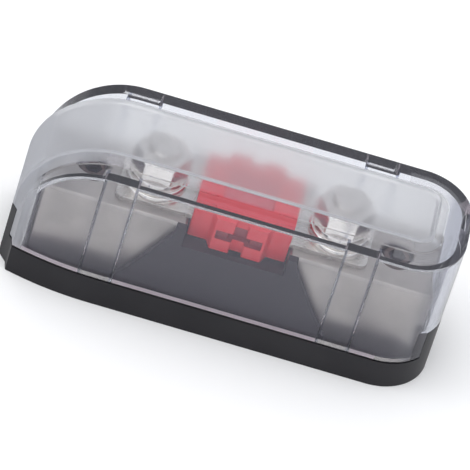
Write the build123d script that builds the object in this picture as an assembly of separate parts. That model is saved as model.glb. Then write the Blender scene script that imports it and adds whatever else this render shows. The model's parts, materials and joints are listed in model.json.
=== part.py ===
from build123d import *
import math
import os

os.makedirs("parts", exist_ok=True)

# Bolt-down fuse holder with a clear snap-on cover, in millimetres.
# +Z is up from the surface it is fixed to, +X runs along it towards the square end,
# and the origin is the centre of the underside.

# Outline seen from above, shared by the base and the cover
length = 70.2
depth = 23.4
corner_radius = 8.7
side_curve_length = 14.0
side_curve_inset = 2.0
end_corner_setback = 1.75
wall = 1.55
inner_corner_radius = 0.8

# Heights
base_height = 5.1
floor_thickness = 2.2
tab_top = 10.8
rim_top = 26.1
roof = 1.25
roof_end_radius = 13.5

# Raised panel that runs along the roof and down the rounded end
panel_rise = 1.4
panel_rim_width = 3.7
panel_slope_run = 1.9
panel_end_gap = 3.9
panel_foot_radius = 4.0

# Joint between cover and base, end tabs, and the ribs whose feet carry the cover
shadow_gap = 0.4
fit_gap = 0.1
tab_setback_left = 4.4
tab_setback_right = 3.6
rib_spacing = 39.0
rib_width = 5.5
rib_depth = 0.9
rib_edge_radius = 0.4

# Fuse: stud spacing of its size and the moulded body
stud_spacing = 30.0
stud_mid_x = 0.5
element_length = 41.0
element_width = 10.0
element_thickness = 0.8
element_hole = 5.4
element_neck = 2.4
element_neck_length = 5.0
fuse_half_x = 8.0
fuse_shoulder_half = 5.7
fuse_bump_foot = 4.9
fuse_bump_tip = 4.15
fuse_bump_half = 7.4
fuse_notch_half = 1.0
fuse_notch_depth = 1.0
fuse_corner_radius = 0.3
fuse_lower = 2.7
fuse_upper = 2.9
fuse_slot_half = 3.75
fuse_slot_height = 1.8
fuse_slot_rise = 0.1
fuse_slot_depth = 0.8
fuse_vent_rise = 0.9
fuse_vent_depth = 0.8
window_length = 8.0
window_width = 7.2
window_thickness = 0.9
window_sink = 0.25
fuse_cavity_height = 1.2

# Terminal blocks, one each side
block_end_gap = 1.45
block_side_gap = 4.7
block_top = 17.8
block_edge = 0.4
socket_radius = 3.0
socket_end_wall = 0.5
socket_height = 6.6
entry_radius = 3.5
set_screw_shift = 0.35
set_screw_radius = 2.5
set_screw_length = 6.0
set_screw_sink = 0.9
set_screw_socket = 2.5
set_screw_socket_depth = 2.6
set_screw_lead_in = 0.4
thread_gap = 0.05

# Stud, washers and nut
stud_radius = 2.5
stud_seat = 10.0
stud_above_nut = 0.6
flat_washer_radius = 5.0
flat_washer_thickness = 1.0
lock_washer_radius = 4.6
lock_washer_thickness = 1.0
lock_washer_split = 0.5
nut_across_flats = 8.0
nut_height = 4.0
hole_gap = 0.1

# Screws that hold the blocks, put in from below
block_screw_radius = 2.0
block_screw_head_radius = 3.6
block_screw_head_height = 1.6
block_screw_length = 8.0
block_screw_sink = 0.2
block_screw_slot = 2.5
block_screw_slot_depth = 1.0

# Barrier between the blocks, with the fixing wells and a plate along its front and back
plate_gap = 0.2
plate_thickness = 1.3
plate_above_block = 0.6
plate_half_top = 9.9
plate_half_shoulder = 10.1
plate_shoulder_drop = 1.4
plate_half_flare = 14.5
plate_flare_height = 8.8
plate_half_foot = 17.4
plate_foot_height = 4.9
fuse_side_gap = 0.3
fuse_under_gap = 0.3
core_roof = 2.0
core_wall = 1.5
well_radius = 3.2
fixing_hole_radius = 1.7
fixing_spacing = 8.4

half_length = length / 2
half_depth = depth / 2
tab_half_left = half_depth - tab_setback_left
tab_half_right = half_depth - tab_setback_right
left_end_reach = wall + panel_rise + end_corner_setback
right_end_reach = corner_radius
panel_foot_half = half_depth - panel_rim_width
panel_ridge_half = panel_foot_half - panel_slope_run
panel_top = rim_top + panel_rise
foot_x = -half_length + panel_rise
corner_x = -half_length + end_corner_setback
corner_y = half_depth - side_curve_inset
arc_x = foot_x + roof_end_radius
arc_z = rim_top - roof_end_radius
stud_offset = stud_spacing / 2
block_inner = fuse_half_x + fuse_side_gap
block_outer = half_length - wall - block_end_gap - stud_mid_x
block_length = block_outer - block_inner
block_width = depth - 2 * block_side_gap
set_screw_offset = (stud_offset + stud_radius + block_outer) / 2 + set_screw_shift
socket_depth = block_outer - stud_offset - block_screw_radius - socket_end_wall
barrier_half_y = block_width / 2 + plate_gap + plate_thickness
element_bottom = block_top
element_top = block_top + element_thickness
flat_washer_top = element_top + flat_washer_thickness
nut_bottom = flat_washer_top + lock_washer_thickness
nut_top = nut_bottom + nut_height
stud_top = nut_top + stud_above_nut
fuse_bottom = element_bottom - fuse_lower
fuse_top = element_top + fuse_upper
well_y = fixing_spacing / 2
core_half_y = barrier_half_y - core_wall
pocket_floor = fuse_bottom - fuse_under_gap


def box(x0, x1, y0, y1, z0, z1):
    return Pos((x0 + x1) / 2, (y0 + y1) / 2, (z0 + z1) / 2) * Box(x1 - x0, y1 - y0, z1 - z0)


def post(x, y, z0, z1, radius):
    return Pos(x, y, (z0 + z1) / 2) * Cylinder(radius, z1 - z0)


def rod_along_x(x0, x1, z, radius):
    return Pos((x0 + x1) / 2, 0, z) * (Rot(0, 90, 0) * Cylinder(radius, abs(x1 - x0)))


def end_box(side, half_y, z0, z1):
    """Box over one end of the outline, as deep as that end's shape."""
    reach = left_end_reach if side < 0 else right_end_reach
    x0, x1 = sorted((side * half_length, side * (half_length - reach)))
    return box(x0, x1, -half_y, half_y, z0, z1)


def lift(sketch, z0, z1):
    return extrude(Pos(0, 0, z0) * sketch, z1 - z0)


def outline(bulged, inset=0.0):
    """Plan outline: rounded square end at +X, gently curved sides and a sharp-cornered end at -X.

    With an inset it is the inside of a wall of that thickness.
    """
    side_y = half_depth - inset
    curve_x = corner_x + side_curve_length
    arc_x_start = half_length - corner_radius
    arc_radius = corner_radius - inset
    right_x = half_length - inset
    flat_y = half_depth - corner_radius
    side_slope = 2 * side_curve_inset / side_curve_length
    end_x = corner_x + inset
    end_y = corner_y + inset * (side_slope - math.hypot(1, side_slope))
    bend_inset = inset * math.tan(math.atan2(panel_rise, panel_slope_run) / 2)
    foot_y = panel_foot_half - bend_inset
    ridge_y = panel_ridge_half - bend_inset
    end_points = [(end_x, end_y), (foot_x + inset, foot_y)]
    if bulged:
        end_points += [(inset - half_length, ridge_y), (inset - half_length, -ridge_y)]
    end_points += [(foot_x + inset, -foot_y), (end_x, -end_y)]
    edges = [
        Line((curve_x, -side_y), (arc_x_start, -side_y)),
        RadiusArc((arc_x_start, -side_y), (right_x, -flat_y), -arc_radius),
        Line((right_x, -flat_y), (right_x, flat_y)),
        RadiusArc((right_x, flat_y), (arc_x_start, side_y), -arc_radius),
        Line((arc_x_start, side_y), (curve_x, side_y)),
        TangentArc((curve_x, side_y), (end_x, end_y), tangent=(-1, 0)),
        Polyline(*end_points),
        TangentArc((curve_x, -side_y), (end_x, -end_y), tangent=(-1, 0)),
    ]
    face = make_face(Curve() + edges)
    if inset == 0:
        return face
    sharp = [v for v in face.vertices() if v.X < end_x + 0.1 and abs(v.Y) > foot_y + 0.1]
    return fillet(sharp, inner_corner_radius)


def side_profile(inset):
    """Volume under the roof: level at the top, with a quarter round at the -X end."""
    radius = roof_end_radius - inset
    left = arc_x - radius
    top = arc_z + radius
    right = half_length
    edges = [
        Line((left, 0), (left, arc_z)),
        RadiusArc((left, arc_z), (arc_x, top), radius),
        Line((arc_x, top), (right, top)),
        Line((right, top), (right, 0)),
        Line((right, 0), (left, 0)),
    ]
    face = make_face(Curve() + edges)
    return extrude(Plane.XZ * face, half_depth, both=True)


def panel_section(rise_from, rise_to, foot_half, ridge_half, root):
    return make_face(Polyline(
        (-foot_half, rise_from - root),
        (foot_half, rise_from - root),
        (foot_half, rise_from),
        (ridge_half, rise_to),
        (-ridge_half, rise_to),
        (-foot_half, rise_from),
        close=True,
    ))


def panel_plan(half, right, radius):
    """Plan of the roof part of the panel, with its two rounded corners at the +X end."""
    edges = [
        Line((arc_x, -half), (right - radius, -half)),
        RadiusArc((right - radius, -half), (right, -half + radius), -radius),
        Line((right, -half + radius), (right, half - radius)),
        RadiusArc((right, half - radius), (right - radius, half), -radius),
        Line((right - radius, half), (arc_x, half)),
        Line((arc_x, half), (arc_x, -half)),
    ]
    return make_face(Curve() + edges)


def panel_volume(drop, inset, low):
    """Raised panel: lofted along the roof, turned round the end, then straight down to low."""
    root = 0.4
    foot_half = panel_foot_half - inset
    ridge_half = panel_ridge_half - inset
    foot_right = half_length - panel_end_gap - inset
    ridge_right = foot_right - panel_slope_run
    foot_z = rim_top - drop
    ridge_z = panel_top - drop
    foot_plan = panel_plan(foot_half, foot_right, panel_foot_radius)
    ridge_plan = panel_plan(ridge_half, ridge_right, panel_foot_radius - panel_slope_run)
    along_roof = loft([Pos(0, 0, foot_z) * foot_plan, Pos(0, 0, ridge_z) * ridge_plan], ruled=True)
    along_roof += lift(foot_plan, foot_z - root, foot_z)
    section = panel_section(foot_z, ridge_z, foot_half, ridge_half, root)
    upright = Plane(origin=(arc_x, 0, 0), x_dir=(0, 1, 0), z_dir=(1, 0, 0)) * section
    around_end = revolve(upright, Axis((arc_x, 0, arc_z), (0, -1, 0)), 90)
    reach = foot_z - arc_z
    rise = ridge_z - foot_z
    flat_section = make_face(Polyline(
        (arc_x - reach + root, -foot_half),
        (arc_x - reach, -foot_half),
        (arc_x - reach - rise, -ridge_half),
        (arc_x - reach - rise, ridge_half),
        (arc_x - reach, foot_half),
        (arc_x - reach + root, foot_half),
        close=True,
    ))
    return along_roof + around_end + lift(flat_section, low, arc_z)


def cover():
    """Clear moulded cover: it stands on the feet of its ribs, a shadow gap above the base's rim."""
    notch_top = tab_top + fit_gap
    slope_angle = math.atan2(panel_rise, panel_slope_run)
    panel_inset = roof * math.tan(slope_angle / 2)
    foot = base_height + shadow_gap
    outside = lift(outline(False), foot, rim_top) & side_profile(0)
    outside += panel_volume(0, 0, foot)
    inside = lift(outline(False, wall), foot, rim_top) & side_profile(roof)
    inside += panel_volume(roof, panel_inset, foot)
    body = outside - inside
    for rib_x in (-rib_spacing / 2, rib_spacing / 2):
        for side in (-1, 1):
            body += rib(rib_x, side) & outside
            body += rib_foot(rib_x, side)
    body -= end_box(-1, tab_half_left + fit_gap, 0, notch_top)
    body -= end_box(1, tab_half_right + fit_gap, 0, notch_top)
    return body


def rib_block(rib_x, outer_y, inner_y, z0, z1):
    """Upright rib with its two inner edges rounded."""
    block = box(rib_x - rib_width / 2, rib_x + rib_width / 2, min(outer_y, inner_y), max(outer_y, inner_y), z0, z1)
    inner_edges = block.edges().filter_by(Axis.Z).sort_by(lambda edge: abs(edge.center().Y))[:2]
    return fillet(inner_edges, rib_edge_radius)


def rib(rib_x, side):
    inner_face = half_depth - wall - rib_depth
    return rib_block(rib_x, side * (half_depth - wall / 2), side * inner_face, base_height + shadow_gap,
                     rim_top - roof / 2)


def rib_foot(rib_x, side):
    """Lower end of a rib, inside the base's rim and down to its floor."""
    inner_face = half_depth - wall - rib_depth
    foot_top = base_height + shadow_gap
    foot = rib_block(rib_x, side * half_depth, side * inner_face, floor_thickness, foot_top)
    return foot & lift(outline(False, wall + fit_gap), floor_thickness, foot_top)


def base():
    """Black moulded base: tray with end tabs, barrier and screw seats."""
    tray = lift(outline(True), 0, base_height)
    tabs = lift(outline(True), base_height, tab_top)
    tabs &= end_box(-1, tab_half_left, 0, tab_top) + end_box(1, tab_half_right, 0, tab_top)
    body = tray + tabs - lift(outline(True, wall), floor_thickness, tab_top)
    body += barrier()
    body -= barrier_hollows()
    for side in (-1, 1):
        body -= rod_along_x(side * (half_length - 2 * wall), side * (half_length + wall), socket_height, entry_radius)
    for side in (-1, 1):
        screw_x = stud_mid_x + side * stud_offset
        body -= post(screw_x, 0, -1, floor_thickness + 1, block_screw_radius + hole_gap)
        body -= post(screw_x, 0, -1, block_screw_sink, block_screw_head_radius + hole_gap)
        body -= Pos(screw_x, 0, block_screw_sink + block_screw_head_height / 2) * Cone(
            block_screw_head_radius + hole_gap, block_screw_radius + hole_gap, block_screw_head_height)
    return body


def barrier():
    """Wall between the two blocks, with the fuse on top and a flared plate along the front and back."""
    half_x = block_inner - fit_gap
    body = box(stud_mid_x - half_x, stud_mid_x + half_x, -barrier_half_y, barrier_half_y, 0, pocket_floor)
    plate_top = block_top + plate_above_block
    foot = (plate_half_foot, plate_foot_height)
    flare = (plate_half_flare, plate_flare_height)
    shoulder = (plate_half_shoulder, block_top - plate_shoulder_drop)
    slope = (flare[0] - shoulder[0], flare[1] - shoulder[1])
    edges = [
        Line((plate_half_foot, floor_thickness / 2), foot),
        Line(shoulder, flare),
        TangentArc(flare, foot, tangent=slope),
        Polyline(shoulder, (plate_half_top, plate_top), (0, plate_top), (0, floor_thickness / 2),
                 (plate_half_foot, floor_thickness / 2)),
    ]
    half_plate = make_face(Curve() + edges)
    plate = half_plate + mirror(half_plate, Plane.YZ)
    for side_y in (-1, 1):
        plane_y = side_y * (barrier_half_y - plate_thickness / 2)
        body += extrude(Plane(origin=(stud_mid_x, plane_y, 0), x_dir=(1, 0, 0), z_dir=(0, -1, 0)) * plate,
                        plate_thickness / 2, both=True)
    pocket = fuse_half_x + fuse_side_gap
    return body - box(stud_mid_x - pocket, stud_mid_x + pocket, -half_depth, half_depth, pocket_floor, plate_top + 1)


def barrier_hollows():
    """Fixing wells reached from the fuse pocket, their holes, and the cores open underneath."""
    half_x = block_inner - fit_gap
    hollows = Part()
    for side in (-1, 1):
        hollows += post(stud_mid_x, side * well_y, floor_thickness, pocket_floor + 1, well_radius)
        hollows += post(stud_mid_x, side * well_y, -1, floor_thickness + 1, fixing_hole_radius)
        core_in = stud_mid_x + side * (well_radius + core_wall)
        core_out = stud_mid_x + side * (half_x - core_wall)
        hollows += box(min(core_in, core_out), max(core_in, core_out), -core_half_y, core_half_y, -1,
                       pocket_floor - core_roof)
    return hollows


def terminal_block(side):
    """Plated block: cable socket from its outer end, set screw hole above it, stud hole, screw hole."""
    inner = stud_mid_x + side * block_inner
    outer = inner + side * block_length
    stud_x = stud_mid_x + side * stud_offset
    set_x = stud_mid_x + side * set_screw_offset
    body = box(min(inner, outer), max(inner, outer), -block_width / 2, block_width / 2, floor_thickness, block_top)
    body = chamfer(body.edges().filter_by(Axis.Z) + body.faces().sort_by(Axis.Z)[-1].edges(), block_edge)
    body -= rod_along_x(outer - side * socket_depth, outer + side, socket_height, socket_radius)
    screw_hole = set_screw_radius + thread_gap
    body -= post(set_x, 0, socket_height, block_top + 1, screw_hole)
    body -= Pos(set_x, 0, block_top - set_screw_lead_in / 2) * Cone(
        screw_hole, screw_hole + set_screw_lead_in, set_screw_lead_in)
    body -= post(stud_x, 0, stud_seat, block_top + 1, stud_radius)
    screw_end = block_screw_sink + block_screw_length
    body -= post(stud_x, 0, 0, screw_end + hole_gap, block_screw_radius)
    return body


def set_screw(side):
    x = stud_mid_x + side * set_screw_offset
    top = block_top - set_screw_sink
    body = post(x, 0, top - set_screw_length, top, set_screw_radius)
    body = chamfer(body.edges().filter_by(GeomType.CIRCLE), 0.5)
    socket = extrude(RegularPolygon(set_screw_socket / 2, 6, major_radius=False), set_screw_socket_depth)
    return body - Pos(x, 0, top - set_screw_socket_depth) * socket


def stud(side):
    body = post(stud_mid_x + side * stud_offset, 0, stud_seat, stud_top, stud_radius)
    return chamfer(body.edges().filter_by(GeomType.CIRCLE).sort_by(Axis.Z)[-1], 0.5)


def flat_washer(side):
    x = stud_mid_x + side * stud_offset
    ring = post(x, 0, element_top, flat_washer_top, flat_washer_radius)
    ring = chamfer(ring.edges().filter_by(GeomType.CIRCLE).sort_by(Axis.Z)[-1], 0.2)
    return ring - post(x, 0, element_top, flat_washer_top, stud_radius + hole_gap)


def lock_washer(side):
    """Spring washer pressed flat, with its slanting split at the back."""
    x = stud_mid_x + side * stud_offset
    ring = post(x, 0, flat_washer_top, nut_bottom, lock_washer_radius)
    ring -= post(x, 0, flat_washer_top, nut_bottom, stud_radius + hole_gap)
    split = Box(lock_washer_split, 2 * lock_washer_radius, 3 * lock_washer_thickness)
    middle_z = flat_washer_top + lock_washer_thickness / 2
    return ring - Pos(x, lock_washer_radius, middle_z) * (Rot(0, 35, 0) * split)


def stud_nut(side):
    """Hexagon nut with its corners turned off at the top."""
    x = stud_mid_x + side * stud_offset
    prism = extrude(RegularPolygon(nut_across_flats / 2, 6, major_radius=False), nut_height)
    corner = nut_across_flats / 2 / math.cos(math.pi / 6)
    bevel = corner - nut_across_flats / 2 * 0.97
    turned = chamfer(Cylinder(corner, nut_height).edges().filter_by(GeomType.CIRCLE).sort_by(Axis.Z)[-1],
                     bevel * math.tan(math.pi / 6), bevel)
    prism = prism & Pos(0, 0, nut_height / 2) * turned
    prism -= post(0, 0, -1, nut_height + 1, stud_radius + thread_gap)
    return Pos(x, 0, nut_bottom) * prism


def block_screw(side):
    """Countersunk screw from the underside of the base into the block."""
    x = stud_mid_x + side * stud_offset
    head = Pos(x, 0, block_screw_sink + block_screw_head_height / 2) * Cone(
        block_screw_head_radius, block_screw_radius, block_screw_head_height)
    body = head + post(x, 0, block_screw_sink + block_screw_head_height, block_screw_sink + block_screw_length,
                       block_screw_radius)
    slot = extrude(RegularPolygon(block_screw_slot / 2, 6, major_radius=False), block_screw_slot_depth)
    return body - Pos(x, 0, block_screw_sink) * slot


def fuse_element():
    """Flat metal strip with a hole at each end and a narrow neck under the window."""
    strip = RectangleRounded(element_length, element_width, 1.2)
    neck_cut = (element_width - element_neck) / 2
    for side in (-1, 1):
        strip -= Pos(side * stud_offset, 0) * Circle(element_hole / 2)
        cut_y = side * (element_neck + neck_cut) / 2
        strip -= Pos(0, cut_y) * RectangleRounded(element_neck_length, neck_cut, 1.0)
        strip -= Pos(0, side * (element_width / 2 - 0.5)) * Rectangle(element_neck_length, 1.0)
    return Pos(stud_mid_x, 0, element_bottom) * extrude(strip, element_thickness)


def fuse_plan():
    """Plan of the fuse body: square shoulders and a notched bump on each long side."""
    notch_y = fuse_bump_half - fuse_notch_depth
    quarter = [
        (fuse_half_x, fuse_shoulder_half),
        (fuse_bump_foot, fuse_shoulder_half),
        (fuse_bump_tip, fuse_bump_half),
        (fuse_notch_half, fuse_bump_half),
        (fuse_notch_half, notch_y),
    ]
    back = quarter + [(-x, y) for x, y in reversed(quarter)]
    front = [(-x, -y) for x, y in back]
    plan = make_face(Polyline(*back, *front, close=True))
    return fillet(plan.vertices(), fuse_corner_radius)


def fuse_half(z0, z1):
    """One half of the body, with the slot along its seam and the room for the metal strip."""
    plan = fuse_plan()
    body = Pos(stud_mid_x, 0, z0) * extrude(plan, z1 - z0)
    middle_z = element_bottom + element_thickness / 2
    slot = plan - offset(plan, amount=-fuse_slot_depth, kind=Kind.INTERSECTION)
    slot &= Rectangle(2 * fuse_slot_half, 2 * depth)
    slot_bottom = middle_z + fuse_slot_rise - fuse_slot_height / 2
    body -= Pos(stud_mid_x, 0, slot_bottom) * extrude(slot, fuse_slot_height)
    vent_top = slot_bottom + fuse_slot_height + fuse_vent_rise
    vent_in = fuse_bump_half - fuse_notch_depth - fuse_vent_depth
    for side in (-1, 1):
        body -= box(stud_mid_x - fuse_notch_half, stud_mid_x + fuse_notch_half, min(side * vent_in, side * depth),
                    max(side * vent_in, side * depth), slot_bottom, vent_top)
    element_gap = fit_gap / 2
    body -= box(stud_mid_x - fuse_half_x, stud_mid_x + fuse_half_x, -element_width / 2 - element_gap,
                element_width / 2 + element_gap, element_bottom, element_top)
    return body


def fuse_body_lower():
    body = fuse_half(fuse_bottom, element_bottom + element_thickness / 2)
    return body - box(stud_mid_x - window_length / 2, stud_mid_x + window_length / 2, -window_width / 2 + 1,
                      window_width / 2 - 1, element_bottom - fuse_cavity_height, element_bottom)


def fuse_body_upper():
    """Upper half with the window opening and the ledge that the window sits on."""
    body = fuse_half(element_bottom + element_thickness / 2, fuse_top)
    half_x = window_length / 2
    half_y = window_width / 2
    ledge = fuse_top - window_sink - window_thickness
    body -= box(stud_mid_x - half_x, stud_mid_x + half_x, -half_y, half_y, ledge, fuse_top)
    return body - box(stud_mid_x - half_x + 0.8, stud_mid_x + half_x - 0.8, -half_y + 0.8, half_y - 0.8,
                      element_top, fuse_top)


def fuse_window():
    half_x = window_length / 2 - fit_gap / 2
    half_y = window_width / 2 - fit_gap / 2
    top = fuse_top - window_sink
    return box(stud_mid_x - half_x, stud_mid_x + half_x, -half_y, half_y, top - window_thickness, top)


pieces = {
    "base": base(),
    "cover": cover(),
    "fuse_element": fuse_element(),
    "fuse_body_lower": fuse_body_lower(),
    "fuse_body_upper": fuse_body_upper(),
    "fuse_window": fuse_window(),
}
for side, name in ((-1, "left"), (1, "right")):
    pieces[f"{name}_terminal_block"] = terminal_block(side)
    pieces[f"{name}_set_screw"] = set_screw(side)
    pieces[f"{name}_stud"] = stud(side)
    pieces[f"{name}_flat_washer"] = flat_washer(side)
    pieces[f"{name}_lock_washer"] = lock_washer(side)
    pieces[f"{name}_stud_nut"] = stud_nut(side)
    pieces[f"{name}_block_screw"] = block_screw(side)

for name, solid in pieces.items():
    export_step(solid, f"parts/{name}.step")
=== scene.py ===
import json
import math

import bmesh
import bpy
from mathutils import Matrix, Vector


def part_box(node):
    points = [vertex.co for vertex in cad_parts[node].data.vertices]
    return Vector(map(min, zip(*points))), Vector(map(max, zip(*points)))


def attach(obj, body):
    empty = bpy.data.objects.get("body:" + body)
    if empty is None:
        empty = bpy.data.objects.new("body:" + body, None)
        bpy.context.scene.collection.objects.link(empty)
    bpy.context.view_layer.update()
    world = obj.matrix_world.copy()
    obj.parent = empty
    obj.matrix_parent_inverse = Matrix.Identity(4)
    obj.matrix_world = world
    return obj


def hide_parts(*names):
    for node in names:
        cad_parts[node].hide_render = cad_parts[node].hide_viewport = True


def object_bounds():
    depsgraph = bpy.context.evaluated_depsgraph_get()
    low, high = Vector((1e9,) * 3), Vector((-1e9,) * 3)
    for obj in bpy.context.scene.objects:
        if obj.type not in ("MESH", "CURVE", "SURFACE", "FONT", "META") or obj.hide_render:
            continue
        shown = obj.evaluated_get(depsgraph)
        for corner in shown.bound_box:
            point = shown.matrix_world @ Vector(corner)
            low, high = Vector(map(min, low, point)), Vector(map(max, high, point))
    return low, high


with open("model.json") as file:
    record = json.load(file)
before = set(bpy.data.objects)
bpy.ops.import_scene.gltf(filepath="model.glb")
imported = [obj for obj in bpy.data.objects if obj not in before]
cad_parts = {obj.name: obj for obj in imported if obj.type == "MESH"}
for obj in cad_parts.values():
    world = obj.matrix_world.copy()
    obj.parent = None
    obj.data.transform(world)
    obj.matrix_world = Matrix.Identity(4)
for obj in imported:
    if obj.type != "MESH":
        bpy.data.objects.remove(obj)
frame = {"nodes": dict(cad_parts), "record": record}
nodes = frame["nodes"]
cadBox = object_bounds()
print("frame loaded:", len(nodes), "nodes")

mm = 0.001
coverLow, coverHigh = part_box("cover")
fuseLow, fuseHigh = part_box("fuse_body_upper")
bodyOf = {}
for bodyName, members in frame["record"]["behaviour"]["bodies"].items():
    for member in members:
        bodyOf[member] = bodyName


# Shader values, so that maths on them reads as plain expressions
class Wire:
    def __init__(self, graph, socket):
        self.graph = graph
        self.socket = socket

    def __add__(self, other):
        return self.graph.maths("ADD", self, other)

    __radd__ = __add__

    def __sub__(self, other):
        return self.graph.maths("SUBTRACT", self, other)

    def __rsub__(self, other):
        return self.graph.maths("SUBTRACT", other, self)

    def __mul__(self, other):
        return self.graph.maths("MULTIPLY", self, other)

    __rmul__ = __mul__

    def __pow__(self, other):
        return self.graph.maths("POWER", self, other)


class Graph:
    # One material's or world's node tree, with the few calls that the finishes below use
    def __init__(self, name, kind=bpy.data.materials):
        self.material = kind.new(name)
        self.material.use_nodes = True
        self.tree = self.material.node_tree
        self.tree.nodes.clear()
        self.coords = self.node("ShaderNodeTexCoord")

    def node(self, kind, settings=None, values=None):
        made = self.tree.nodes.new(kind)
        for key, value in (settings or {}).items():
            setattr(made, key, value)
        for key, value in (values or {}).items():
            self.feed(made.inputs[key], value)
        return made

    def feed(self, socket, value):
        if isinstance(value, Wire):
            self.tree.links.new(value.socket, socket)
        else:
            socket.default_value = value

    def out(self, made, name):
        return Wire(self, made.outputs[name])

    def maths(self, operation, first, second=0.0):
        made = self.node("ShaderNodeMath", {"operation": operation}, {0: first, 1: second})
        return self.out(made, "Value")

    def size(self, value):
        return self.maths("ABSOLUTE", value)

    def above(self, value, limit):
        return self.maths("GREATER_THAN", value, limit)

    def below(self, value, limit):
        return self.maths("LESS_THAN", value, limit)

    def between(self, value, low, high):
        return self.above(value, low) * self.below(value, high)

    def larger(self, first, second):
        return self.maths("MAXIMUM", first, second)

    def step(self, value, low, high):
        values = {"Value": value, "From Min": low, "From Max": high}
        made = self.node("ShaderNodeMapRange", {"interpolation_type": "SMOOTHSTEP", "clamp": True}, values)
        return self.out(made, "Result")

    def band(self, value, rise, fall):
        return self.step(value, *rise) * (1.0 - self.step(value, *fall))

    def axes(self, kind="Object"):
        # the piece's own place, or for the world the way a ray goes
        where = Wire(self, self.coords.outputs[kind])
        made = self.node("ShaderNodeSeparateXYZ", None, {"Vector": where})
        return [self.out(made, name) for name in "XYZ"]

    def noise(self, scale, detail, stretch=(1, 1, 1)):
        where = Wire(self, self.coords.outputs["Object"])
        made = self.node("ShaderNodeMapping", None, {"Vector": where, "Scale": stretch})
        values = {"Vector": self.out(made, "Vector"), "Scale": scale, "Detail": detail, "Roughness": 0.5}
        return self.out(self.node("ShaderNodeTexNoise", None, values), "Fac")

    def blend(self, factor, first, second):
        made = self.node("ShaderNodeMix", {"data_type": "RGBA"}, {0: factor, 6: first, 7: second})
        return Wire(self, made.outputs[2])

    def bump(self, height, distance, strength):
        values = {"Height": height, "Distance": distance, "Strength": strength}
        return self.out(self.node("ShaderNodeBump", None, values), "Normal")

    def mixed(self, factor, first, second):
        made = self.node("ShaderNodeMixShader", None, {"Fac": factor})
        self.tree.links.new(first.outputs[0], made.inputs[1])
        self.tree.links.new(second.outputs[0], made.inputs[2])
        return made

    def finish(self, shader):
        isWorld = isinstance(self.material, bpy.types.World)
        made = self.node("ShaderNodeOutputWorld" if isWorld else "ShaderNodeOutputMaterial")
        self.tree.links.new(shader.outputs[0], made.inputs["Surface"])
        return self.material


# Black moulded plastic of the base
blackPlastic = {
    "colour": (0.0118, 0.0112, 0.0142, 1),
    "worn": (0.0175, 0.0168, 0.0200, 1),
    "cloudSize": 90,
    "cloudSpread": (0.35, 0.70),
    "grainSize": 2600,
    "grainDepth": 0.012 * mm,
    "grainStrength": 0.35,
    "roughness": 0.42,
    "cloudGloss": 0.10,
    "grainGloss": 0.05,
    "ior": 1.5,
    "shine": 0.27,
}


def makeBlackPlastic(look):
    graph = Graph("blackMouldedPlastic")
    cloud = graph.noise(look["cloudSize"], 4)
    grain = graph.noise(look["grainSize"], 2)
    uneven = look["cloudGloss"] * (cloud - 0.5) + look["grainGloss"] * grain
    shader = graph.node("ShaderNodeBsdfPrincipled", None, {
        "Base Color": graph.blend(graph.step(cloud, *look["cloudSpread"]), look["colour"], look["worn"]),
        "Roughness": look["roughness"] + uneven,
        "Normal": graph.bump(grain, look["grainDepth"], look["grainStrength"]),
        "IOR": look["ior"],
        "Specular IOR Level": look["shine"],
    })
    return graph.finish(shader)


# Clear plastic of the cover: frosted on the raised panel, hazy on the slope beside it
clearPlastic = {
    "ior": 1.52,
    "tint": (0.93, 0.936, 0.955, 1),
    "glint": (0.84, 0.82, 1.0, 1),
    "clearRoughness": 0.030,
    "slopeRoughness": 0.17,
    "frostRoughness": 0.31,
    "waveGloss": 0.05,
    # share of the matt veil laid over the clear plastic
    "veilColour": (0.638, 0.648, 0.680, 1),
    "clearVeil": 0.02,
    "frostVeil": 0.38,
    "slopeHaze": 0.26,
    "endHaze": 1.65,
    "squareHaze": 0.70,
    "ridgeVeil": 0.90,
    "rimVeil": 0.22,
    # the roof's profile: level along the top, then an arc round the left end
    "rimLevel": coverHigh.z - 1.4 * mm,
    "arcInset": 1.4 * mm,
    "arcRadius": 13.5 * mm,
    "arcTurn": 6 * mm,
    # heights above that profile, each from where a change starts to where it is full
    "slopeRise": (0.05 * mm, 0.25 * mm),
    "edgingRise": (0.72 * mm, 0.85 * mm),
    "edgingFall": (0.95 * mm, 1.08 * mm),
    # painted shade: a dark bluish line beside the ridge round the left end
    "edgingTint": (0.40, 0.46, 0.62, 1),
    "ridgeRise": (1.00 * mm, 1.12 * mm),
    "ridgeFall": (1.30 * mm, 1.39 * mm),
    "frostRise": (1.05 * mm, 1.30 * mm),
    # painted reflection: the flat rim is tinted darker and bluish, standing in for the bluish reflection
    # seen in the dark ring under it
    "rimTint": (0.86, 0.875, 0.94, 1),
    # distances in from the square end and from the left end
    "squareFade": (7 * mm, 12 * mm),
    "squareWall": (1.6 * mm, 5.5 * mm),
    # painted shade: the end wall near the square end is coloured a darker grey
    "squareTint": (0.55, 0.565, 0.615, 1),
    "rimHazeLength": 11 * mm,
    "leftFade": (2.2 * mm, 4.2 * mm),
    "leftVeil": 0.88,
    "leftLeast": 0.80,
    # plan of the square end's corners
    "cornerRadius": 8.7 * mm,
    "cornerWall": 1.45 * mm,
    # the rough foot, and the four ribs inside the long walls
    # the foot is a rough matt face; its pink is painted light, standing in for the red glow of the fuse
    "footColour": (0.99, 0.87, 0.925, 1),
    "footVeil": 0.95,
    "footLevel": 5.5 * mm,
    "footThick": 0.02 * mm,
    "footInner": 8.5 * mm,
    "ribPlace": 19.5 * mm,
    "ribSide": (2.30 * mm, 2.82 * mm),
    "ribAcross": (9.15 * mm, 10.12 * mm),
    # painted shade: the side faces of the four ribs are darkened to dark bluish lines
    "ribTint": (0.30, 0.33, 0.44, 1),
    # fine surface
    "grainSize": 5200,
    "grainShare": 0.3,
    "waveSize": 160,
    "waveShare": 0.15,
    "bumpDepth": 0.01 * mm,
    "bumpStrength": 0.4,
}


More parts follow.
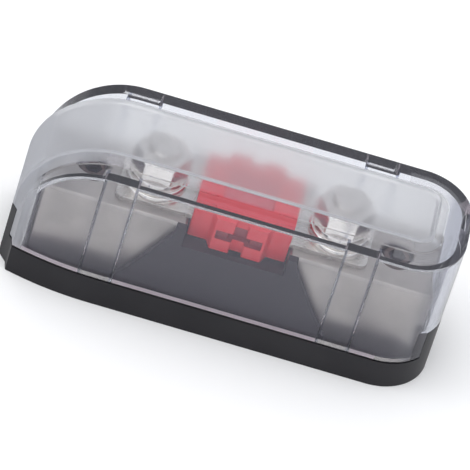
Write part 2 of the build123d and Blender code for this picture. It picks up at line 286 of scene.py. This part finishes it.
def coverMasks(graph, look):
    x, y, z = graph.axes()
    across = graph.size(y)
    fromSquare = coverHigh.x - x
    # height above the level of the flat rim, measured square to the roof and round the end
    arcX = coverLow.x + look["arcInset"] + look["arcRadius"]
    arcZ = look["rimLevel"] - look["arcRadius"]
    alongEnd = graph.larger(arcX - x, 0.0)
    alongRise = graph.larger(z - arcZ, 0.0)
    lift = (alongEnd * alongEnd + alongRise * alongRise) ** 0.5 - look["arcRadius"]

    turned = graph.step(alongEnd, 0.0, look["arcTurn"])
    square = 1.0 - graph.step(fromSquare, *look["squareFade"])
    slope = graph.step(lift, *look["slopeRise"])
    panel = graph.step(lift, *look["frostRise"])
    endHaze = turned * (look["endHaze"] - look["slopeHaze"])
    haze = slope * (look["slopeHaze"] + endHaze + square * look["squareHaze"])
    leftEnd = look["leftVeil"] * (1.0 - graph.step(x - coverLow.x, *look["leftFade"]))

    # the rim is hazy near the square end, inside the line of its outer wall
    rim = graph.below(graph.size(lift), look["slopeRise"][0])
    outX = graph.larger(x - (coverHigh.x - look["cornerRadius"]), 0.0)
    outY = graph.larger(across - (coverHigh.y - look["cornerRadius"]), 0.0)
    reach = (outX * outX + outY * outY) ** 0.5
    outer = graph.above(reach, look["cornerRadius"] - look["cornerWall"])
    rimHaze = rim * (1.0 - outer) * graph.above(x, coverHigh.x - look["rimHazeLength"])

    # the foot is pale along the straight of both long sides, between the ribs
    offRib = graph.size(graph.size(x) - look["ribPlace"])
    foot = graph.below(graph.size(z - look["footLevel"]), look["footThick"]) * look["footVeil"]
    foot = foot * graph.above(across, look["footInner"])
    foot = foot * graph.below(x, coverHigh.x - look["cornerRadius"])
    foot = foot * graph.above(offRib, look["ribSide"][1])

    return {
        "panel": panel,
        "slope": slope,
        "frosted": graph.larger(panel, haze),
        "leftEnd": leftEnd * graph.larger(panel, look["leftLeast"]),
        "edging": turned * graph.band(lift, look["edgingRise"], look["edgingFall"]),
        "ridge": graph.band(lift, look["ridgeRise"], look["ridgeFall"]),
        "rim": rim,
        "rimHaze": rimHaze,
        "squareWall": 1.0 - graph.step(fromSquare, *look["squareWall"]),
        "ribSides": graph.between(offRib, *look["ribSide"]) * graph.between(across, *look["ribAcross"]),
        "foot": foot,
    }


def makeClearPlastic(look):
    graph = Graph("clearCoverPlastic")
    masks = coverMasks(graph, look)
    frosted = masks["frosted"]
    tint = look["tint"]
    # painted shade and painted reflection: the square end wall, the flat rim, the line beside the ridge
    # and the rib sides take their painted tints over the plastic's own tint
    for mask, over in (("squareWall", "squareTint"), ("rim", "rimTint"), ("edging", "edgingTint"),
                       ("ribSides", "ribTint")):
        tint = graph.blend(masks[mask], tint, look[over])
    rough = masks["panel"] * look["frostRoughness"]
    rough = rough + (1.0 - masks["panel"]) * masks["slope"] * look["slopeRoughness"]
    grain = graph.noise(look["grainSize"], 2)
    wave = graph.noise(look["waveSize"], 2)
    height = grain * frosted * look["grainShare"] + wave * look["waveShare"]
    clear = graph.node("ShaderNodeBsdfPrincipled", None, {
        "Base Color": tint,
        "Roughness": look["clearRoughness"] + rough + frosted * look["waveGloss"] * (wave - 0.5),
        "Normal": graph.bump(height, look["bumpDepth"], look["bumpStrength"]),
        "IOR": look["ior"],
        "Specular Tint": look["glint"],
        "Transmission Weight": 1.0,
    })
    through = graph.node("ShaderNodeBsdfTranslucent", None, {"Color": look["veilColour"]})
    matt = graph.node("ShaderNodeBsdfDiffuse", None, {"Color": look["veilColour"]})
    veil = graph.mixed(0.5, through, matt)
    amount = look["clearVeil"] + frosted * (look["frostVeil"] - look["clearVeil"])
    for more in (masks["leftEnd"], masks["ridge"] * look["ridgeVeil"], masks["rimHaze"] * look["rimVeil"]):
        amount = graph.larger(amount, more)
    foot = graph.node("ShaderNodeBsdfDiffuse", None, {"Color": look["footColour"]})
    return graph.finish(graph.mixed(masks["foot"], graph.mixed(amount, clear, veil), foot))


# Nickel plate, turned steel and the other metals share one recipe
metals = {
    "nickelPlate": {
        "colour": (0.53, 0.498, 0.468, 1),
        "dull": (0.455, 0.427, 0.40, 1),
        "roughness": 0.46,
        "cloudSize": 160,
        "grainSize": 420,
        "grainStretch": (1, 14, 1),
        "grainDepth": 0.010 * mm,
    },
    "brightSteel": {
        "colour": (0.90, 0.865, 0.825, 1),
        "dull": (0.77, 0.74, 0.70, 1),
        "roughness": 0.16,
        "cloudSize": 300,
        "grainSize": 900,
        "grainStretch": (1, 1, 1),
        "grainDepth": 0.006 * mm,
    },
    "plainStrip": {
        "colour": (0.68, 0.66, 0.62, 1),
        "dull": (0.55, 0.53, 0.50, 1),
        "roughness": 0.26,
        "cloudSize": 220,
        "grainSize": 500,
        "grainStretch": (1, 22, 1),
        "grainDepth": 0.006 * mm,
    },
    "blackenedSteel": {
        "colour": (0.13, 0.088, 0.072, 1),
        "dull": (0.085, 0.058, 0.048, 1),
        "roughness": 0.34,
        "cloudSize": 400,
        "grainSize": 1600,
        "grainStretch": (1, 1, 1),
        "grainDepth": 0.008 * mm,
    },
}
metalWear = {
    "cloudSpread": (0.35, 0.68),
    "cloudGloss": 0.16,
    "grainGloss": 0.06,
    "grainStrength": 0.5,
}


def makeMetal(name, look, wear):
    graph = Graph(name)
    cloud = graph.noise(look["cloudSize"], 4)
    grain = graph.noise(look["grainSize"], 3, look["grainStretch"])
    uneven = wear["cloudGloss"] * (cloud - 0.5) + wear["grainGloss"] * (grain - 0.5)
    shader = graph.node("ShaderNodeBsdfPrincipled", None, {
        "Base Color": graph.blend(graph.step(cloud, *wear["cloudSpread"]), look["colour"], look["dull"]),
        "Metallic": 1.0,
        "Roughness": look["roughness"] + uneven,
        "Normal": graph.bump(grain, look["grainDepth"], wear["grainStrength"]),
    })
    return graph.finish(shader)


# Red plastic of the fuse, darker by painted shade in the slots along its seam, and its paler window
redPlastic = {
    "colour": (0.98, 0.030, 0.045, 1),
    "pale": (1.0, 0.050, 0.068, 1),
    "roughness": 0.24,
    "clearness": 0.0,
    "shade": (0.42, 0.040, 0.060, 1),
    "seam": 17.38 * mm,
    # the long slot and the vent above it: half width, top and depth of the back wall
    "slots": ((3.8 * mm, 19.15 * mm, 7.3 * mm), (1.1 * mm, 20.05 * mm, 6.3 * mm)),
}
redWindow = {
    "colour": (0.97, 0.10, 0.135, 1),
    "pale": (1.0, 0.15, 0.18, 1),
    "roughness": 0.12,
    "clearness": 0.20,
}
redGrain = {
    "cloudSize": 240,
    "cloudSpread": (0.30, 0.75),
    "cloudGloss": 0.08,
    "grainSize": 3000,
    "grainDepth": 0.008 * mm,
    "grainStrength": 0.3,
    "ior": 1.5,
}


def slotMask(graph, look):
    x, y, z = graph.axes()
    across = graph.size(x - (fuseLow.x + fuseHigh.x) / 2)
    out = graph.size(y)
    slot, vent = [graph.below(across, half) * graph.below(z, top) * graph.below(out, wall)
                  for half, top, wall in look["slots"]]
    return graph.above(z, look["seam"]) * graph.larger(slot, vent)


def makeRedPlastic(name, look, surface):
    graph = Graph(name)
    cloud = graph.noise(surface["cloudSize"], 3)
    grain = graph.noise(surface["grainSize"], 2)
    colour = graph.blend(graph.step(cloud, *surface["cloudSpread"]), look["colour"], look["pale"])
    # painted shade: the slot and vent above the seam are coloured darker
    if "shade" in look:
        colour = graph.blend(slotMask(graph, look), colour, look["shade"])
    shader = graph.node("ShaderNodeBsdfPrincipled", None, {
        "Base Color": colour,
        "Roughness": look["roughness"] + surface["cloudGloss"] * (cloud - 0.5),
        "Normal": graph.bump(grain, surface["grainDepth"], surface["grainStrength"]),
        "IOR": surface["ior"],
        "Transmission Weight": look["clearness"],
    })
    return graph.finish(shader)


finishes = {
    "black_plastic": makeBlackPlastic(blackPlastic),
    "clear_plastic": makeClearPlastic(clearPlastic),
    "nickel_plate": makeMetal("nickelPlate", metals["nickelPlate"], metalWear),
    "bright_steel": makeMetal("brightSteel", metals["brightSteel"], metalWear),
    "plated_strip": makeMetal("plainStrip", metals["plainStrip"], metalWear),
    "dark_steel": makeMetal("blackenedSteel", metals["blackenedSteel"], metalWear),
    "red_plastic": makeRedPlastic("redFusePlastic", redPlastic, redGrain),
    "red_clear": makeRedPlastic("redWindowPlastic", redWindow, redGrain),
}
slotOf = {entry["node"]: entry["material_slot"] for entry in frame["record"]["subparts"]}
print("finishes made:", len(finishes))


def bakeModifiers(piece):
    # the piece's modifiers become its plain mesh
    view = bpy.context.evaluated_depsgraph_get()
    solid = bpy.data.meshes.new_from_object(piece.evaluated_get(view))
    piece.modifiers.clear()
    piece.data = solid
    return solid


def takePlace(piece, nodeName):
    # the piece moves with its body and is seen in place of the CAD node
    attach(piece, bodyOf[nodeName])
    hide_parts(nodeName)


# Edge radius of each moulded, machined or stamped piece
edgeRadius = {
    "base": 0.18 * mm,
    "cover": 0.12 * mm,
    "fuse_element": 0.06 * mm,
    "fuse_body_lower": 0.22 * mm,
    "fuse_body_upper": 0.22 * mm,
    "fuse_window": 0.12 * mm,
    "terminal_block": 0.10 * mm,
    "set_screw": 0.05 * mm,
    "flat_washer": 0.08 * mm,
    "lock_washer": 0.08 * mm,
    "stud_nut": 0.10 * mm,
    "block_screw": 0.06 * mm,
}
rounding = {
    "weld": 0.0005 * mm,
    "flatDegrees": 0.1,
    "sharpDegrees": 32,
    "segments": 3,
    "faceWeight": 100,
}


def makeRounded(nodeName, radius, look):
    # copy of a CAD piece with its loose triangles joined and its sharp edges rounded
    sharp = math.radians(look["sharpDegrees"])
    mesh = nodes[nodeName].data.copy()
    shape = bmesh.new()
    shape.from_mesh(mesh)
    bmesh.ops.remove_doubles(shape, verts=shape.verts, dist=look["weld"])
    bmesh.ops.dissolve_limit(shape, angle_limit=math.radians(look["flatDegrees"]), verts=shape.verts,
                             edges=shape.edges)
    for face in shape.faces:
        face.smooth = True
    shape.to_mesh(mesh)
    shape.free()
    mesh.materials.clear()
    mesh.materials.append(finishes[slotOf[nodeName]])
    piece = bpy.data.objects.new(nodeName + "Shown", mesh)
    bpy.context.scene.collection.objects.link(piece)
    bevel = piece.modifiers.new("roundedEdges", "BEVEL")
    bevel.width = radius
    bevel.segments = look["segments"]
    bevel.limit_method = "ANGLE"
    bevel.angle_limit = sharp
    bevel.use_clamp_overlap = True
    solid = bakeModifiers(piece)
    solid.set_sharp_from_angle(angle=sharp)
    # large flat faces keep their own normals, so that clear walls don't bend the view
    weighted = piece.modifiers.new("flatFacesFirst", "WEIGHTED_NORMAL")
    weighted.mode = "FACE_AREA"
    weighted.weight = look["faceWeight"]
    weighted.keep_sharp = True
    bakeModifiers(piece)
    takePlace(piece, nodeName)


studNames = ("left_stud", "right_stud")
roundedNames = [nodeName for nodeName in nodes if nodeName not in studNames]
for nodeName in roundedNames:
    kind = nodeName.replace("left_", "").replace("right_", "")
    makeRounded(nodeName, edgeRadius[kind], rounding)
print("pieces rounded:", len(roundedNames))

# Studs with a real thread: a core with a ridge wound round it
threadedStud = {
    "pitch": 0.8 * mm,
    "ridge": 0.26 * mm,
    "flats": 48,
    "ridgeSides": 4,
    "sharpDegrees": 30,
}


def makeThreadTree(look):
    tree = bpy.data.node_groups.new("threadedStud", "GeometryNodeTree")
    face = tree.interface
    for name, kind in (("Radius", "Float"), ("Ridge", "Float"), ("Pitch", "Float"), ("Height", "Float"),
                       ("Place", "Vector"), ("Finish", "Material")):
        face.new_socket(name=name, in_out="INPUT", socket_type="NodeSocket" + kind)
    face.new_socket(name="Geometry", in_out="OUTPUT", socket_type="NodeSocketGeometry")
    given = tree.nodes.new("NodeGroupInput").outputs

    def node(kind, values, operation=None):
        made = tree.nodes.new(kind)
        if operation:
            made.operation = operation
        for key, value in values.items():
            if isinstance(value, bpy.types.NodeSocket):
                tree.links.new(value, made.inputs[key])
            else:
                made.inputs[key].default_value = value
        return made.outputs[0]

    def maths(operation, first, second):
        return node("ShaderNodeMath", {0: first, 1: second}, operation)

    def moved(shape, offset):
        return node("GeometryNodeTransform", {"Geometry": shape, "Translation": offset})

    def upward(height):
        return node("ShaderNodeCombineXYZ", {"Z": height})

    coreRadius = maths("SUBTRACT", given["Radius"], given["Ridge"])
    core = node("GeometryNodeMeshCylinder", {
        "Vertices": look["flats"],
        "Radius": coreRadius,
        "Depth": given["Height"],
    })
    # the ridge starts and ends one ridge's height inside the stud
    wound = maths("SUBTRACT", given["Height"], maths("MULTIPLY", given["Ridge"], 2.0))
    spiral = node("GeometryNodeCurveSpiral", {
        "Resolution": look["flats"],
        "Rotations": maths("DIVIDE", wound, given["Pitch"]),
        "Height": wound,
        "Start Radius": coreRadius,
        "End Radius": coreRadius,
    })
    profile = node("GeometryNodeCurvePrimitiveCircle", {
        "Resolution": look["ridgeSides"],
        "Radius": given["Ridge"],
    })
    ridge = node("GeometryNodeCurveToMesh", {"Curve": spiral, "Profile Curve": profile, "Fill Caps": True})
    joined = tree.nodes.new("GeometryNodeJoinGeometry")
    tree.links.new(moved(core, upward(maths("MULTIPLY", given["Height"], 0.5))), joined.inputs[0])
    tree.links.new(moved(ridge, upward(given["Ridge"])), joined.inputs[0])
    placed = moved(joined.outputs[0], given["Place"])
    real = node("GeometryNodeRealizeInstances", {"Geometry": placed})
    dressed = node("GeometryNodeSetMaterial", {"Geometry": real, "Material": given["Finish"]})
    tree.links.new(dressed, tree.nodes.new("NodeGroupOutput").inputs[0])
    return tree


threadTree = makeThreadTree(threadedStud)
for nodeName in studNames:
    low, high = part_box(nodeName)
    values = {
        "Radius": (high.x - low.x) / 2,
        "Ridge": threadedStud["ridge"],
        "Pitch": threadedStud["pitch"],
        "Height": high.z - low.z,
        "Place": ((low.x + high.x) / 2, (low.y + high.y) / 2, low.z),
        "Finish": finishes[slotOf[nodeName]],
    }
    piece = bpy.data.objects.new(nodeName + "Shown", bpy.data.meshes.new(nodeName + "Shown"))
    bpy.context.scene.collection.objects.link(piece)
    thread = piece.modifiers.new("threadedStud", "NODES")
    thread.node_group = threadTree
    for socket in threadTree.interface.items_tree:
        if socket.in_out == "INPUT":
            thread[socket.identifier] = values[socket.name]
    solid = bakeModifiers(piece)
    solid.set_sharp_from_angle(angle=math.radians(threadedStud["sharpDegrees"]))
    takePlace(piece, nodeName)
    print(nodeName, "threaded:", len(solid.polygons), "faces")


# Pale floor, white backdrop at the horizon, duller walls above it and a wide soft ceiling light
studio = {
    "floorHalf": 1.5,
    "floorDrop": 0.02 * mm,
    "floorColour": (0.97, 0.97, 0.97, 1),
    "floorRoughness": 0.9,
    "backdrop": (1.0, 1.0, 1.0, 1),
    "wall": (0.56, 0.57, 0.61, 1),
    "wallRise": (0.10, 0.24),
    "ceiling": (1.35, 1.36, 1.38, 1),
    "ceilingRise": (0.55, 0.80),
}


def makeFloor(look):
    half = look["floorHalf"]
    level = cadBox[0].z - look["floorDrop"]
    corners = [(x, y, level) for x, y in ((-half, -half), (half, -half), (half, half), (-half, half))]
    mesh = bpy.data.meshes.new("paleFloor")
    mesh.from_pydata(corners, [], [(0, 1, 2, 3)])
    floor = bpy.data.objects.new("paleFloor", mesh)
    bpy.context.scene.collection.objects.link(floor)
    graph = Graph("paleFloor")
    shader = graph.node("ShaderNodeBsdfPrincipled", None, {
        "Base Color": look["floorColour"],
        "Roughness": look["floorRoughness"],
        "Specular IOR Level": 0.0,
    })
    mesh.materials.append(graph.finish(shader))


def makeSky(look):
    graph = Graph("studioSky", bpy.data.worlds)
    bpy.context.scene.world = graph.material
    up = graph.axes("Generated")[2]
    walls = graph.blend(graph.step(up, *look["wallRise"]), look["backdrop"], look["wall"])
    dome = graph.blend(graph.step(up, *look["ceilingRise"]), walls, look["ceiling"])
    # the camera itself sees the plain backdrop
    seen = graph.out(graph.node("ShaderNodeLightPath"), "Is Camera Ray")
    colour = graph.blend(seen, dome, look["backdrop"])
    graph.finish(graph.node("ShaderNodeBackground", None, {"Color": colour, "Strength": 1.0}))


makeFloor(studio)
makeSky(studio)

# Soft lamps: place, size, power and the point each one faces
lamps = {
    "topBox": {"place": (-0.12, -0.10, 0.60), "size": 0.35, "power": 0.55, "aim": (0, 0, 0.01)},
    "leftBox": {"place": (-0.50, -0.12, 0.36), "size": 0.30, "power": 0.42, "aim": (-0.02, 0, 0.02)},
}


def makeLamp(name, look):
    lamp = bpy.data.lights.new(name, "AREA")
    lamp.size = look["size"]
    lamp.energy = look["power"]
    made = bpy.data.objects.new(name, lamp)
    bpy.context.scene.collection.objects.link(made)
    made.location = look["place"]
    facing = Vector(look["aim"]) - Vector(look["place"])
    made.rotation_euler = facing.to_track_quat("-Z", "Y").to_euler()


for name, look in lamps.items():
    makeLamp(name, look)
print("studio lit")

# Camera: a long lens from the front, a little to the left, rolled as the photograph is
cameraLook = {
    "azimuth": -2.47,
    "elevation": 41.72,
    "roll": 17.95,
    "distance": 1084.6 * mm,
    "lens": 525.6,
    "sensor": 36,
    "clip": (0.01, 10),
    "aim": (0.044 * mm, -0.484 * mm, 12.46 * mm),
}


def makeCamera(look):
    azimuth = math.radians(look["azimuth"])
    elevation = math.radians(look["elevation"])
    roll = math.radians(look["roll"])
    level = math.cos(elevation)
    ahead = Vector((-math.sin(azimuth) * level, math.cos(azimuth) * level, -math.sin(elevation)))
    right = Vector((math.cos(azimuth), math.sin(azimuth), 0))
    up = right.cross(ahead)
    rolledRight = right * math.cos(roll) + up * math.sin(roll)
    rolledUp = up * math.cos(roll) - right * math.sin(roll)
    data = bpy.data.cameras.new("photoCamera")
    data.sensor_width = look["sensor"]
    data.lens = look["lens"]
    data.clip_start, data.clip_end = look["clip"]
    camera = bpy.data.objects.new("photoCamera", data)
    bpy.context.scene.collection.objects.link(camera)
    turn = Matrix((rolledRight, rolledUp, -ahead)).transposed().to_4x4()
    camera.matrix_world = Matrix.Translation(Vector(look["aim"]) - ahead * look["distance"]) @ turn
    bpy.context.scene.camera = camera


makeCamera(cameraLook)
bpy.context.scene.view_settings.view_transform = "Standard"
print("camera placed")
